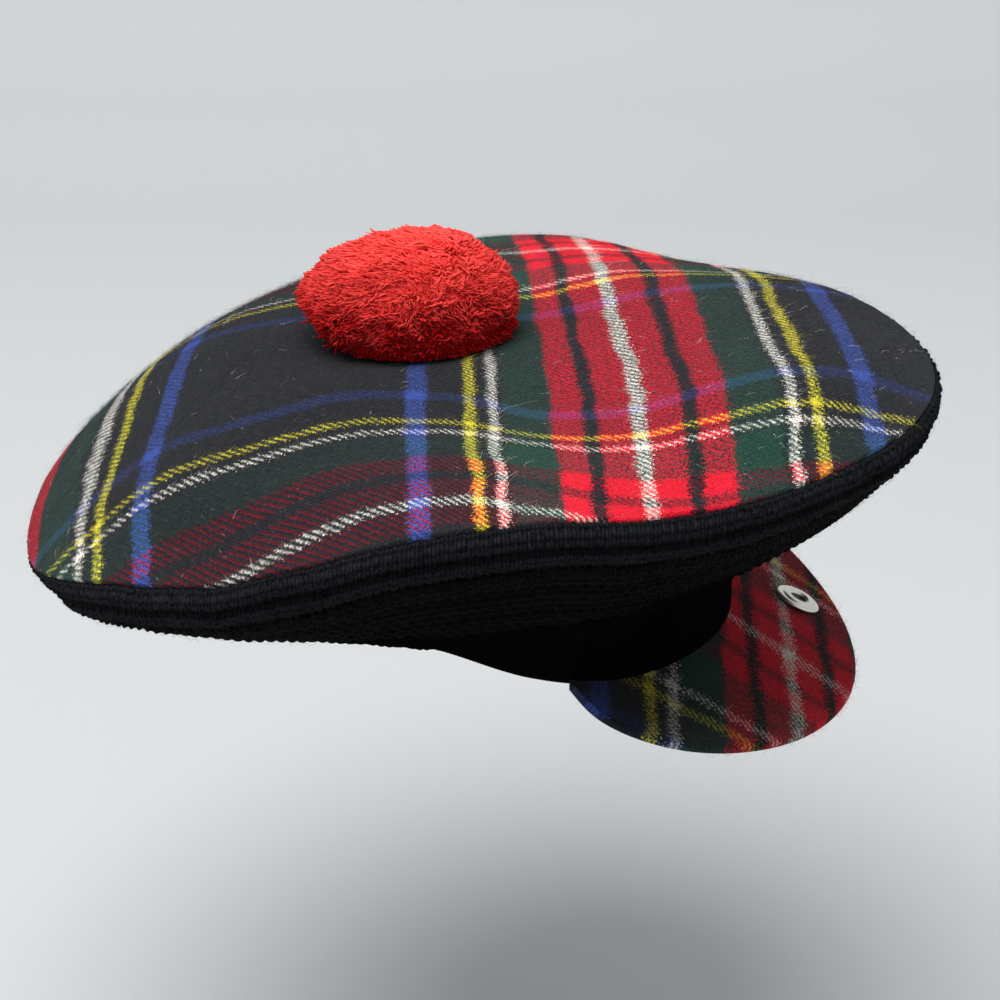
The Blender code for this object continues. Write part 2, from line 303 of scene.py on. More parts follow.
# %% Sizes and the rim's table
CROWN_RADIUS, CROWN_CLOTH = 130 * MM, 2.0 * MM
CROWN_CENTRE = np.array([-9.4 * MM, -1.0 * MM])
RIM_HEIGHT, RIM_DROOP, DOME_RISE, DOME_POWER, SWELL_FADE = 62.5 * MM, 50 * MM, 8 * MM, 3.0, 0.125
KNIT_WALL, ROLL_OUT, ROLL_TUCK, ROLL_DEPTH, ROLL_WIDEST = 3 * MM, 2 * MM, 4 * MM, 15.5 * MM, 0.45
BELLY_OUT, BELLY_DROP = 9 * MM, 15 * MM
BAND_RADIUS, BAND_WALL, BAND_HEIGHT, BAND_LEAN, BAND_TOP_LEAN = 78 * MM, 2.5 * MM, 36 * MM, 17 * MM, 13 * MM
LEAN_BEARING, BAND_DIP, BAND_LAP = -18, 2.5 * MM, 4.5 * MM
POMPOM_FOOT = CROWN_CENTRE + [-1.6 * MM, 20 * MM]
POMPOM_HALF, POMPOM_LIFT, DIMPLE_DEPTH = np.array([28, 33, 21.5]) * MM, 13 * MM, 5 * MM
SEAM_GAP = 0.35 * MM

RIM = [  # bearing, droop, roll, flare, belly
    (-174, 0.98, 0.72, -2.3, 0.45), (-162, 0.96, 0.80, -1.7, 0.60), (-150, 0.82, 0.88, -0.6, 0.75),
    (-136, 0.63, 0.92, 0.4, 0.90), (-120, 0.45, 0.96, 0.8, 1.00), (-108, 0.25, 1.00, 1.0, 1.00),
    (-96, 0.06, 1.00, 1.0, 1.00), (-82, -0.03, 1.00, 1.0, 0.85), (-72, 0.00, 1.00, 1.0, 0.65),
    (-60, 0.01, 1.00, 1.0, 0.22), (-38, -0.01, 1.00, 1.0, 0.00), (2, 0.02, 1.00, 1.0, 0.00),
    (32, 0.03, 1.00, 1.0, 0.30), (57, 0.10, 1.00, 1.0, 0.80), (79, 0.02, 1.00, 1.0, 1.00),
    (102, 0.12, 1.00, 1.0, 0.90), (119, 0.29, 0.95, 0.5, 0.75), (136, 0.52, 0.85, -0.5, 0.60),
    (154, 0.74, 0.75, -1.5, 0.45), (174, 0.90, 0.70, -2.3, 0.45),
]
BAND_EDGE = [  # bearing, dip
    (-138, -0.5), (-96, -1.3), (-78, 0.2), (-60, 1.0), (-45, 0.7), (-26, 0.3), (12, 0.6), (42, 0.2),
    (92, 0.0), (162, 0.0),
]
SWELLS = [  # bearing, out, rise, width, spread
    (-33, 0.76, 0.80, 0.22, 38), (-93, 0.55, -0.45, 0.25, 30), (-130, 0.80, 0.60, 0.18, 22),
]


# %% Reading the rules at any point
def around(table, bearing):
    """A closed table read at bearings on smooth curves, one column after another."""
    rows = np.array(table, float)
    begins = rows[:, 0] - rows[0, 0]
    spans = np.diff(np.append(begins, 360))
    along = (bearing - rows[0, 0]) % 360
    i = np.searchsorted(begins, along, side="right") - 1
    t = ((along - begins[i]) / spans[i])[..., None]
    a, b, c, d = (rows[(i + k) % len(rows), 1:] for k in (-1, 0, 1, 2))
    return np.moveaxis(curve(t, b, c, (c - a) / 2, (d - b) / 2), -1, 0)


def outward(bearing, height=0.0):
    """Level directions of bearings."""
    turn = np.radians(bearing)
    return np.stack([np.sin(turn), -np.cos(turn), np.full_like(turn, height)], -1)


def crown_point(out, bearing):
    """Points of the crown's upper face at shares of its radius."""
    droop = around(RIM, bearing)[0]
    low = RIM_HEIGHT - RIM_DROOP * droop
    high = RIM_HEIGHT + DOME_RISE
    place = outward(bearing) * (CROWN_RADIUS * out)[..., None]
    place[..., :2] += CROWN_CENTRE
    from_foot = np.linalg.norm(place[..., :2] - POMPOM_FOOT, axis=-1) / POMPOM_HALF[0]
    swell = 0
    for toward, middle, rise, width, spread in SWELLS:
        off = np.abs((bearing - toward + 180) % 360 - 180) / spread
        swell = swell + rise * np.exp(-((out - middle) / width) ** 2 - off**2)
    swell = DOME_RISE * swell * np.minimum(1, (1 - out) / SWELL_FADE)
    height = low + (high - low) * (1 - out**DOME_POWER) + swell - DIMPLE_DEPTH * np.exp(-from_foot**2)
    place[..., 2] = height
    return place


def crown_height(x, y):
    level = np.stack([x, y], -1) - CROWN_CENTRE
    bearing = np.degrees(np.arctan2(level[..., 0], -level[..., 1]))
    return crown_point(np.linalg.norm(level, axis=-1) / CROWN_RADIUS, bearing)[..., 2]


def unit(vectors):
    return vectors / np.linalg.norm(vectors, axis=-1, keepdims=True)


def skin_normals(grid, outside):
    """Normals of a block of rows that wraps round, turned to the side of outside at row 0."""
    along = np.gradient(grid, axis=0)
    across = np.roll(grid, -1, axis=1) - np.roll(grid, 1, axis=1)
    normal = unit(np.cross(along, across))
    return normal if np.dot(normal[len(grid) // 4, 0], outside) > 0 else -normal


print("crown's middle at %.1f mm" % (crown_height(np.array([0.0]), np.array([0.0]))[0] / MM))

# %% [markdown]
# ## Tartan
#
# A tartan has one row of stripes for both sets of threads.  It is mirrored at two places, the
# pivots, so a point's colour depends only on how far it lies from the nearest pivot.  That is a
# folded distance and a colour ramp, read once for the threads that run from side to side and once
# for those that run from front to back.  Which of the two shows is the weave: in a twill each
# thread floats over two and dives under two, and the floats step sideways, so the mask is a
# diagonal.  Brushed wool blurs all this, so every distance is shaken a little first.

# %% The sett
REPEAT = 201.0  # mm
SETT = [  # mm from the white pivot to the end of each stripe
    ("white", 1.6), ("red", 10.4), ("black", 14.3), ("red", 22.0), ("green", 35.6), ("black", 37.0),
    ("white", 40.0), ("black", 43.9), ("yellow", 46.9), ("black", 58.9), ("blue", 65.0), ("black", 100.5),
]
DYES = {
    "white": (0.90, 0.86, 0.76), "red": (0.80, 0.008, 0.028), "black": (0.012, 0.013, 0.016),
    "green": (0.014, 0.060, 0.040), "yellow": (0.80, 0.70, 0.04), "blue": (0.050, 0.100, 0.44),
}
THREAD = 1.05  # mm from one thread to the next
WARP_SHARE, WEFT_SHOWS = 0.62, 0.16  # how much of the face the side-to-side threads cover
PALE_SHOWS = 0.42  # floats of light threads stand out as dashes
DARK_NAP = 0.30  # how far loose dark hairs lie over the lighter threads
HIDDEN = {"red": 0.20, "blue": 0.50, "green": 0.7}  # weft threads sink in between dark warp threads
HALF_HIDDEN = {"blue": 0.60}  # and the dull blue ones between light threads too
LINT = (0.42, 0.42, 0.44, 1)


def sett_stops(hidden):
    stops, start = [], 0.0
    for dye, end in SETT:
        depth = hidden.get(dye, 1.0)
        stops.append((start / (REPEAT / 2), tuple(depth * c for c in DYES[dye])))
        start = end
    return stops


# %% The cloth's material
def tartan_paint(name, nap=1.0, lint_share=0.16, painted_shade_factor=1.0):
    """Brushed wool tartan.  The skin's uv gives each point's place in the cloth, in metres."""
    paint = Paint(name)
    uv = paint.node("ShaderNodeUVMap", {"uv_map": "cloth"}, {})
    parts = paint.node("ShaderNodeSeparateXYZ", {}, {0: uv})
    place = [parts * 1000, paint.node("ShaderNodeSeparateXYZ", {}, {0: uv}, output=1) * 1000]
    hairs_across = paint.grain(paint.stretch(uv, 12, 4), 2100, 2, 0.6) - 0.5
    hairs_along = paint.grain(paint.stretch(uv, 78, 4), 2300, 2, 0.6) - 0.5
    wander = [4.0 * (paint.grain(uv, lumps, 2) - 0.5) for lumps in (60, 70)]
    fuzz = [5.5 * hairs_across + 5.0 * (paint.grain(uv, 1250, 2) - 0.5),
            5.5 * hairs_along + 5.0 * (paint.grain(uv, 1350, 2) - 0.5)]
    across, along = (p + nap * f + w for p, f, w in zip(place, fuzz, wander))
    colours = []
    for hidden, way in (({}, across), (HIDDEN, along), (HALF_HIDDEN, along)):
        folded = ((way + REPEAT / 2) % REPEAT - REPEAT / 2).size() / (REPEAT / 2)
        ramp = paint.node("ShaderNodeValToRGB", {"stops": sett_stops(hidden)}, {0: folded})
        ramp.socket.node.color_ramp.interpolation = "CONSTANT"
        colours.append(ramp)
    diagonal = (place[0] + place[1] + 1.6 * nap * (hairs_across + hairs_along)) / (2.3 * THREAD)
    wave = (diagonal * (2 * math.pi)).wave()
    blur = 2.4 * (paint.grain(uv, 1400, 3, 0.7) - 0.5)
    warp, sunk_weft, full_weft = colours
    pale = (paint.node("ShaderNodeSeparateColor", {}, {0: full_weft})
            + paint.node("ShaderNodeSeparateColor", {}, {0: warp}, output=1)).held()
    weave = (WARP_SHARE + 0.08 * pale + (WEFT_SHOWS + PALE_SHOWS * pale) * wave + blur).held()
    warp_light = (paint.node("ShaderNodeSeparateColor", {}, {0: warp})
                  + 1.1 * paint.node("ShaderNodeSeparateColor", {}, {0: warp}, output=2)).held()
    weft = paint.mix(warp_light, sunk_weft, full_weft)
    darker = paint.mix(1.0, warp, full_weft, "DARKEN")
    flecks = (DARK_NAP + 5.5 * (paint.grain(uv, 1250, 3, 0.75) - 0.5)).held()
    cloth = paint.mix(flecks, paint.mix(weave, weft, warp), darker)
    hairs = paint.grain(uv, 2400, 3, 0.7)
    shade = 1.0 + 1.7 * (hairs - 0.5) + 1.1 * hairs_across + 1.1 * hairs_along
    # the last factor darkens the whole cloth as painted shade; 1 is none
    cloth = paint.dull(cloth, shade * (painted_shade_factor * (0.8 + 0.4 * paint.grain(uv, 45, 2))))
    lint = ((paint.grain(paint.stretch(uv, 40, 5), 2300, 3, 0.7) - 0.57) * 6).held() * lint_share
    cloth = paint.mix(lint, cloth, LINT)
    height = 0.5 * hairs + 0.5 * wave.size()
    return paint.surface(base_color=cloth, roughness=0.95, sheen_weight=0.06, sheen_roughness=0.5,
                         specular_ior_level=0.05, normal=paint.bump(height, 0.45 * MM))


wool = tartan_paint("tartan_wool")
print("tartan repeats every", REPEAT, "mm")

# %% [markdown]
# ## The crown
#
# The crown is one round of cloth with its edge turned into the seam.  A grid of rings is the
# plain way to make it.  The rings lie closer together near the edge, where the cloth rolls over,
# and small puckers stand there, because a flat cloth sewn to a stretchy one never lies quite
# flat.

# %% The crown's skin
ROUND, RINGS = 256, 84
PUCKER, PUCKER_SIZE, PUCKER_REACH = 0.42 * MM, 9 * MM, 0.05
FOLD, FOLD_SIZE, FOLD_REACH = 0.7 * MM, 34 * MM, 0.06

bearings = np.linspace(-180, 180, ROUND, endpoint=False)
outs = np.sin(np.linspace(0.004, 1, RINGS) * math.pi / 2)
out_grid, bearing_grid = np.meshgrid(outs, bearings, indexing="ij")
top = crown_point(out_grid, bearing_grid)
flat, from_edge = top.reshape(-1, 3), 1 - out_grid.ravel()
puckers = PUCKER * ripple(flat * [1, 1, 0.2], PUCKER_SIZE, 3.1) * np.exp(-(from_edge / PUCKER_REACH))
folds = FOLD * ripple(flat, FOLD_SIZE, 8.2) * np.minimum(1, from_edge / FOLD_REACH)
top[..., 2] += (puckers + folds).reshape(top.shape[:2])
steps = np.linalg.norm(np.diff(top, axis=0), axis=2)
first_step = np.linalg.norm(top[:1] - top[:1].mean(1, keepdims=True), axis=2)
over = np.concatenate([first_step, steps]).cumsum(0)
normal = skin_normals(top, (0, 0, 1))
print("the cloth reaches %.0f mm from the crown's middle" % (over.max() / MM))

# %% [markdown]
# ## How the cloth lies
#
# Cloth laid over a soft crown isn't square to it: it was cut by eye, and wear has pulled it.  A
# point's place in the cloth starts as its distance from the crown's middle, measured over the
# surface, and then drifts.  A drawn pattern could be pinned to the skin instead, but the drift
# keeps every stripe in one piece.  It is found in two steps: a guess for the whole crown,
# and a smooth change of it that brings the stripes to where the picture has them.

# %% A first guess of the drift
GUESS_ROWS = [-120, -70, 25, 70, 120]  # mm to the left of the crown's middle, a minus being to the right
GUESS_COLUMNS = [-120, -85, -55, -27, 0, 20, 40, 60, 85, 110]  # mm forward of it
GUESS_FORWARD = [  # mm
    [50, 50, 50, 50.5, 49, 46.5, 46, 44.5, 44.5, 45],
    [49, 49, 48.5, 48, 45.5, 43, 41.5, 42, 43.5, 45],
    [50, 49, 48, 46, 42, 39.5, 38.5, 39.5, 41.5, 43],
    [53, 51, 48, 44, 40, 37, 36.5, 38, 41, 42],
    [54, 51, 47, 42, 36, 31, 29, 32, 37, 40],
]
GUESS_LEFT = [  # mm
    [-122, -121, -120, -115, -118, -126, -130, -126, -116, -108],
    [-114, -116, -119, -107, -114, -130, -133, -124, -112, -104],
    [-104, -107, -118, -119, -121, -124, -114, -101, -86, -78],
    [-103, -106, -114, -116, -118, -117, -103, -93, -81, -73],
    [-103, -105, -111, -114, -116, -114, -102, -92, -80, -72],
]

# %% [markdown]
# The stripes were followed through the picture.  A ray from the camera through each place
# finds it on the crown, and the stripe's own place in the sett says what the drift has to be
# there.

# %% Where the stripes run
SIDE_TO_SIDE = {  # place in the cloth in mm: pixels that the stripe runs through
    -179: [(70, 445), (35, 520)],
    -162.5: [(124, 397), (104, 440), (85, 509), (77, 556)],
    -155.6: [(139, 386), (124, 440), (104, 494), (97, 548), (97, 567)],
    -139: [(182, 359), (166, 393), (151, 447), (139, 509), (139, 563)],
    -62: [(418, 378), (416, 417), (418, 455), (422, 509)],
    -45.4: [(468, 374), (468, 409), (470, 455), (478, 509)],
    -38.5: [(489, 366), (495, 401), (497, 447), (503, 486), (507, 509)],
    -22: [(532, 277), (545, 355), (558, 455), (568, 509)],
    -12.35: [(545, 246), (568, 331), (589, 380), (595, 467), (603, 514)],
    0: [(585, 243), (607, 301), (635, 380), (639, 425), (642, 467), (655, 512)],
    12.35: [(638, 266), (667, 339), (683, 380), (690, 467), (699, 505)],
    22: [(673, 266), (705, 339), (726, 380), (733, 449), (738, 500)],
    38.5: [(731, 273), (773, 355), (790, 415), (799, 477)],
    45.4: [(762, 281), (800, 355), (819, 415), (825, 468)],
    62: [(812, 289), (858, 366), (869, 408), (872, 437)],
}
FRONT_TO_BACK = {
    0: [(240, 574), (325, 533), (437, 502), (531, 508), (556, 514)],
    45.4: [(169, 474), (281, 442), (375, 416), (500, 430), (594, 439), (719, 414), (831, 402),
           (875, 411)],
    62: [(400, 399), (531, 414), (625, 411), (737, 383), (862, 380)],
    139: [(212, 336), (287, 321), (560, 310), (687, 291), (737, 283)],
    155.6: [(250, 314), (522, 299), (625, 275), (750, 277)],
}
crown_faces = BVHTree.FromPolygons(flat.tolist(), row_faces(RINGS, ROUND).tolist())


def on_crown(x, y):
    """Where a pixel lies on the crown: mm forward and to the left of its middle, over the surface."""
    middle, focal = PICTURE / 2, PICTURE * LENS / SENSOR
    ray = right * (x - middle) - up * (y - middle) - back * focal
    level = np.array(crown_faces.ray_cast(camera_place, ray.normalized())[0][:2]) - CROWN_CENTRE
    bearing = math.atan2(level[0], -level[1])
    column = round((math.degrees(bearing) + 180) * ROUND / 360) % ROUND
    reach = np.interp(np.linalg.norm(level) / CROWN_RADIUS, outs, over[:, column]) / MM
    return reach * math.cos(bearing), reach * math.sin(bearing)


# %% [markdown]
# The change of the guess is a small table too.  Least squares weighs three wishes: the stripes lie
# where they were seen, the change stays small, and it doesn't bend sharply from one entry to the
# next.

# %% The drift of the cloth
ROWS_FROM_RIGHT = [-135, -110, -85, -55, -20, 25, 70, 120]
COLUMNS_FROM_BACK = [-130, -110, -85, -60, -35, -15, 0, 15, 30, 45, 60, 75, 95, 115]
STAY, BEND = 0.12, 0.35  # the weights of a small and of a smooth change, against 1 for a stripe


def shares(stops, place):
    """How much each entry of a table counts at a place between its stops."""
    return np.array([np.interp(place, stops, entry) for entry in np.eye(len(stops))])


def found_drift(guess, stripes, way):
    """The guess, changed so that the stripes lie where they were seen."""
    rows, columns = len(ROWS_FROM_RIGHT), len(COLUMNS_FROM_BACK)
    left_shares = np.array([shares(GUESS_ROWS, row) for row in ROWS_FROM_RIGHT])
    forward_shares = np.array([shares(GUESS_COLUMNS, column) for column in COLUMNS_FROM_BACK])
    table = left_shares @ np.array(guess) @ forward_shares.T
    pulls, misses = [], []
    for place, pixels in stripes.items():
        for pixel in pixels:
            spot = on_crown(*pixel)
            pull = np.outer(shares(ROWS_FROM_RIGHT, spot[1]), shares(COLUMNS_FROM_BACK, spot[0]))
            pulls.append(pull.ravel())
            misses.append(spot[way] - place - (pull * table).sum())
    bends = np.concatenate([np.kron(np.diff(np.eye(rows), 2, axis=0), np.eye(columns)),
                            np.kron(np.eye(rows), np.diff(np.eye(columns), 2, axis=0))])
    wishes = np.concatenate([pulls, STAY * np.eye(table.size), BEND * bends])
    change = np.linalg.lstsq(wishes, np.append(misses, np.zeros(len(wishes) - len(misses))), rcond=None)[0]
    off = [np.sqrt(np.mean(np.square(miss))) for miss in (misses, misses - pulls @ change)]
    print("%d places, off by %.1f mm at first and %.1f mm now" % (len(misses), *off))
    return table + change.reshape(rows, columns)


drift_tables = [found_drift(GUESS_FORWARD, SIDE_TO_SIDE, 0), found_drift(GUESS_LEFT, FRONT_TO_BACK, 1)]

# %% Every point's place in the cloth
turn = np.radians(bearing_grid)
spread = np.stack([over * np.cos(turn), over * np.sin(turn)], -1).reshape(-1, 2) / MM  # forward, left
drifts = []
for table in drift_tables:
    columns_read = np.array([smooth_read(COLUMNS_FROM_BACK, row, spread[:, 0]) for row in table])
    drifts.append(smooth_read(ROWS_FROM_RIGHT, columns_read, spread[:, 1]))
cloth_grid = (spread - np.stack(drifts, -1)).reshape(RINGS, ROUND, 2) * MM

# %% The crown's turned edge and underside
EDGE_BULGE, EDGE_ROUND = 0.3 * CROWN_CLOTH, 0.4 * CROWN_CLOTH
edge_rows, edge_uv = [], []
leave = unit(top[-1] - top[-2])
cloth_step = (cloth_grid[-1] - cloth_grid[-2]) / steps[-1][:, None]
for angle in (30, 60, 90, 120, 150):
    a = math.radians(angle)
    sink = 0.5 * CROWN_CLOTH * (1 - math.cos(a))
    edge_rows.append(top[-1] - sink * normal[-1] + EDGE_BULGE * math.sin(a) * leave)
    edge_uv.append(cloth_grid[-1] + EDGE_ROUND * a * cloth_step)
under = (top - CROWN_CLOTH * normal)[::-3]
under_uv = cloth_grid[::-3]
rows = np.concatenate([top, edge_rows, under])
row_uv = np.concatenate([cloth_grid, edge_uv, under_uv])
last = (len(rows) - 1) * ROUND
points, uvs = (np.concatenate([block.reshape(-1, block.shape[-1]), block[[0, -1]].mean(1)])
               for block in (rows, row_uv))
i = np.arange(ROUND)
j = (i + 1) % ROUND
fans = np.concatenate([np.stack([j, i, np.full(ROUND, len(points) - 2)], -1),
                       np.stack([last + i, last + j, np.full(ROUND, len(points) - 1)], -1)])
crown = make_piece("crown_cloth", points, [row_faces(len(rows), ROUND), fans], wool,
                   ["crown"], uvs)

# %% [markdown]
# ## Wool nap
#
# The cloth was brushed, so loose fibres stand off it, catch the light and blur the edge of the
# hat.  They could be a particle system, but fibres as thin strips of mesh stay with the model
# wherever it goes.  Each strip takes its colour from the cloth where it grows, by carrying that
# spot's uv along its whole length.  A few carry the uv of the white pivot instead, as pale fluff.

# %% Fibres as thin strips
def fibre_strips(roots, normals, uvs, length, width, lift, curls=0.45, joints=3):
    """Strips that leave their roots at a low angle and curl; points, faces and uvs."""
    count = len(roots)
    heading = unit(np.cross(normals, chance.normal(size=(count, 3))))
    side = unit(np.cross(normals, heading))
    long = chance.uniform(0.5, 1.3, count)[:, None] * length
    rise = lift * chance.uniform(0.2, 1.4, count)[:, None]
    curl = chance.normal(0, curls, count)[:, None]
    rows = []
    for k in range(joints + 1):
        t = k / joints
        spine = roots + long * (t * heading + curl * t**2 * side) + rise * long * (t - 0.35 * t**2) * normals
        half = 0.5 * width * (1 - 0.6 * t) * unit(side + 0.7 * normals)
        rows += [spine - half, spine + half]
    points = np.stack(rows, 1)
    base = np.arange(count)[:, None, None] * (2 * joints + 2)
    ring = np.array([[2 * k, 2 * k + 1, 2 * k + 3, 2 * k + 2] for k in range(joints)])[None]
    return points.reshape(-1, 3), (base + ring).reshape(-1, 4), np.repeat(uvs, 2 * joints + 2, axis=0)


def scatter(grid, grid_normals, grid_uv, count, share=None):
    """Random roots on a block of rows, as many as the area asks for."""
    a, b, c = grid[:-1, :], grid[1:, :], np.roll(grid, -1, axis=1)[:-1, :]
    area = np.linalg.norm(np.cross(b - a, c - a), axis=2)
    if share is not None:
        area = area * share[:-1]
    pick = chance.choice(area.size, count, p=(area / area.sum()).ravel())
    r, i = np.divmod(pick, grid.shape[1])
    s, t = chance.random((2, count, 1))
    n = (i + 1) % grid.shape[1]

    def blend(block):
        low = block[r, i] * (1 - t) + block[r, n] * t
        high = block[r + 1, i] * (1 - t) + block[r + 1, n] * t
        return low * (1 - s) + high * s

    return blend(grid), unit(blend(grid_normals)), blend(grid_uv)


# %% The crown's nap
SHORT, PALE, LONG = 43500, 500, 4500  # how many of each
SHORT_HAIR, LONG_HAIR, HAIR_WIDTH = 2.2 * MM, 4.4 * MM, 0.05 * MM
ROOT_DEPTH = 0.1 * MM
roots, up_ways, root_uv = scatter(top, normal, cloth_grid, SHORT + PALE + LONG)
wool_hair = tartan_paint("wool_hair", nap=0.3, lint_share=0.5)
lengths = np.repeat([SHORT_HAIR, LONG_HAIR], [SHORT + PALE, LONG])[:, None]
root_uv[SHORT:SHORT + PALE] = 0
roots = roots - ROOT_DEPTH * up_ways
strips = fibre_strips(roots, up_ways, root_uv, lengths, HAIR_WIDTH, 0.60, 0.9, joints=2)
nap = make_piece("crown_nap", strips[0], [strips[1]], wool_hair, uv=strips[2])

# %% [markdown]
# ## The knitted side
#
# The side is a thick rib knit laid on its back: near the rim it shows broad ridges that run round
# the hat, and each ridge is a chain of small round stitches.  Further in the ridges flatten and
# only rows of stitches are left.  A picture of stitches pasted on would look flat at the rim,
# where the edge of the hat is seen against the light, so the stitches are real bumps in the mesh.

# %% The knitted side's path
def side_sections(bearing, count):
    """Outer face of the side, from the seam round the rim to the band: rows of points."""
    droop, roll, flare, belly = around(RIM, bearing)
    one = np.ones_like(bearing)
    out = outward(bearing)
    up_way = np.array([0, 0, 1.0])
    seam = crown_point(one, bearing)
    leave = unit(seam - crown_point(one * 0.98, bearing))
    depth = (ROLL_DEPTH * roll)[:, None]
    flare = (ROLL_OUT * flare)[:, None]
    lean = np.cos(np.radians(bearing - LEAN_BEARING))
    lap = (BAND_RADIUS + SEAM_GAP) * out + (BAND_HEIGHT - BAND_TOP_LEAN * lean - BAND_LAP)[:, None] * up_way
    knots = np.stack([
        seam + SEAM_GAP * leave,
        seam + flare * out - ROLL_WIDEST * depth * up_way,
        seam + (flare - ROLL_OUT - ROLL_TUCK) * out - depth * up_way,
        lap + BELLY_OUT * out - (BELLY_DROP * belly)[:, None] * up_way,
        lap,
    ])
    spans = np.linalg.norm(np.diff(knots, axis=0), axis=2)
    own = np.arange(len(bearing))
    slopes = np.diff(knots, axis=0) / spans[..., None]
    middle = unit(slopes[:-1] * spans[1:, :, None] + slopes[1:] * spans[:-1, :, None])
    tangents = np.concatenate([leave[None], middle, -out[None]])
    ends = spans.cumsum(0)
    rows = []
    for k in range(count):
        place = ends[-1] * k / (count - 1)
        i = np.minimum((place > ends).sum(0), 3)
        size = spans[i, own][:, None]
        t = (place - ends[i, own])[:, None] / size + 1
        rows.append(curve(t, knots[i, own], knots[i + 1, own],
                          size * tangents[i, own], size * tangents[i + 1, own]))
    return np.array(rows), ends[-1]


# %% Stitches
STITCHES = 396  # round the rim, about 2.1 mm apart
RIDGE = 9.0 * MM  # from one ridge to the next
STITCH_ROW = 2.5 * MM
RIM_END, RIM_FADE = 24 * MM, 2.5 * MM  # how far in the ridges reach, and how softly they end
UNEVEN = chance.uniform(0.45, 1.25, (STITCHES, 60))  # no two stitches are pulled alike


def stitch_height(columns, down):
    """How far the knit stands out, in metres, at stitch columns and at distances from the seam."""
    rows = down / STITCH_ROW
    step = 0.5 * (np.floor(rows) % 2)
    whole = np.floor(columns + 0.5).astype(int) % STITCHES
    half_row = rows + 0.5 * (whole % 2)
    size = UNEVEN[whole, np.clip(half_row, 0, 59).astype(int)]
    rib = np.abs(np.cos(math.pi * (columns + 0.35 * (size - 0.85)))) ** 0.7
    knot = np.abs(np.sin(math.pi * half_row)) ** 0.6
    dash = np.abs(np.cos(math.pi * (columns / 2 + step))) ** 0.5 * np.abs(np.sin(math.pi * rows)) ** 1.3
    ridge = np.abs(np.sin(math.pi * (down + 0.6 * MM) / RIDGE)) ** 0.45
    near_rim = 1 / (1 + np.exp((down - RIM_END) / RIM_FADE))
    seam_dip = 0.6 * np.exp(-down / (1.5 * MM))
    rim_relief = 0.15 * rib + 1.00 * size * rib * knot + 1.6 * ridge - 2.3 - seam_dip
    return MM * (near_rim * rim_relief + (1 - near_rim) * (1.1 * dash - 0.8))


def knit_skin(first, last, across, rows):
    """One belt of the side, between two shares of its path, with its stitches."""
    bearing = np.linspace(-180, 180, across, endpoint=False)
    fine = 4 * rows
    path, length = side_sections(bearing, fine + 1)
    spots = np.linspace(first, last, rows) * fine
    low = np.minimum(spots.astype(int), fine - 1)
    share = (spots - low)[:, None, None]
    grid = path[low] * (1 - share) + path[low + 1] * share
    normals = skin_normals(grid, outward(bearing[:1])[0] if first < 0.1 else (0, 0, -1))
    down = np.linspace(first, last, rows)[:, None] * length[None]
    wander = ripple(grid.reshape(-1, 3), 14 * MM, 5.5).reshape(down.shape)
    columns = np.linspace(0, STITCHES, across, endpoint=False)[None] + 0.4 * wander
    down = down + 0.6 * MM * wander
    return grid, normals, stitch_height(columns, down), np.stack([columns, down / MM], -1)


# %% [markdown]
# The two belts of the side overlap by a hair, so that no gap shows between the ridges of the rim
# and the rows of the underside.

# %% Black knit
def knit_paint(name, shade, per_metre, shine=0.02, stitched=False):
    """Black wool yarn.  The stitched kind has painted shade in the grooves between ridges and stitches, and
    grows darker inward from the rim as painted shade.
    """
    paint = Paint(name)
    at = paint.node("ShaderNodeTexCoord", {}, {}, output=3)
    fluff = paint.grain(at, per_metre, 4, 0.7)
    blotches = 0.7 + 0.6 * paint.grain(at, 60, 2)
    tone, height = (0.1 + 1.8 * fluff) * blotches, fluff
    if stitched:
        uv = paint.node("ShaderNodeUVMap", {"uv_map": "cloth"}, {})
        columns, down = (paint.node("ShaderNodeSeparateXYZ", {}, {0: uv}, output=k) for k in (0, 1))
        legs = (columns * (2 * math.pi) + 4.5 * (fluff - 0.5)).wave().size()
        ridge = ((down + 0.6) * (math.pi / RIDGE * MM)).wave().size()
        knots = (down * (math.pi / STITCH_ROW * MM) + 3.0 * (fluff - 0.5)).wave().size()
        # painted shade: darker from 8 mm to 22 mm in from the seam, towards the underside
        inner = ((down - 8) * (1 / 14)).held()
        # painted shade in the grooves between the ridges, the rib legs and the stitch rows
        gap_shade = (0.12 + 0.88 * ridge) * (0.42 + 0.70 * legs) * (0.35 + 0.80 * knots)
        tone = (3.6 * fluff - 0.9).held() * blotches * (1 - 0.85 * inner) * gap_shade
        height = 0.5 * fluff + 0.5 * legs
    colour = paint.dull((*shade, 1), tone)
    return paint.surface(base_color=colour, roughness=0.85, sheen_weight=shine, sheen_roughness=0.35,
                         specular_ior_level=shine, normal=paint.bump(height, 0.5 * MM))


black_knit = knit_paint("black_knit", (0.019, 0.020, 0.024), 1100, 0.02, stitched=True)
# painted shade: the same black yarn made far darker, a shaded copy for the underside, the inside and the
# rim's loose hairs
shaded_black_knit = knit_paint("shaded_black_knit", (0.0016, 0.0017, 0.0021), 1400, 0.002)


def knit_belt(first, last, across, rows):
    grid, normals, height, counts = knit_skin(first, last, across, rows)
    return grid + height[..., None] * normals, normals, counts


RIM_ROWS, UNDER_ROWS = 58, 42
rim_block, rim_normals, rim_counts = knit_belt(0.0, 0.45, 4 * STITCHES, RIM_ROWS)
rim = make_piece("rim_knit", rim_block.reshape(-1, 3), [row_faces(RIM_ROWS, 4 * STITCHES)], black_knit,
                 ["knit_side"], rim_counts.reshape(-1, 2), STITCHES)
under_block = knit_belt(0.44, 1.0, 3 * STITCHES, UNDER_ROWS)[0]
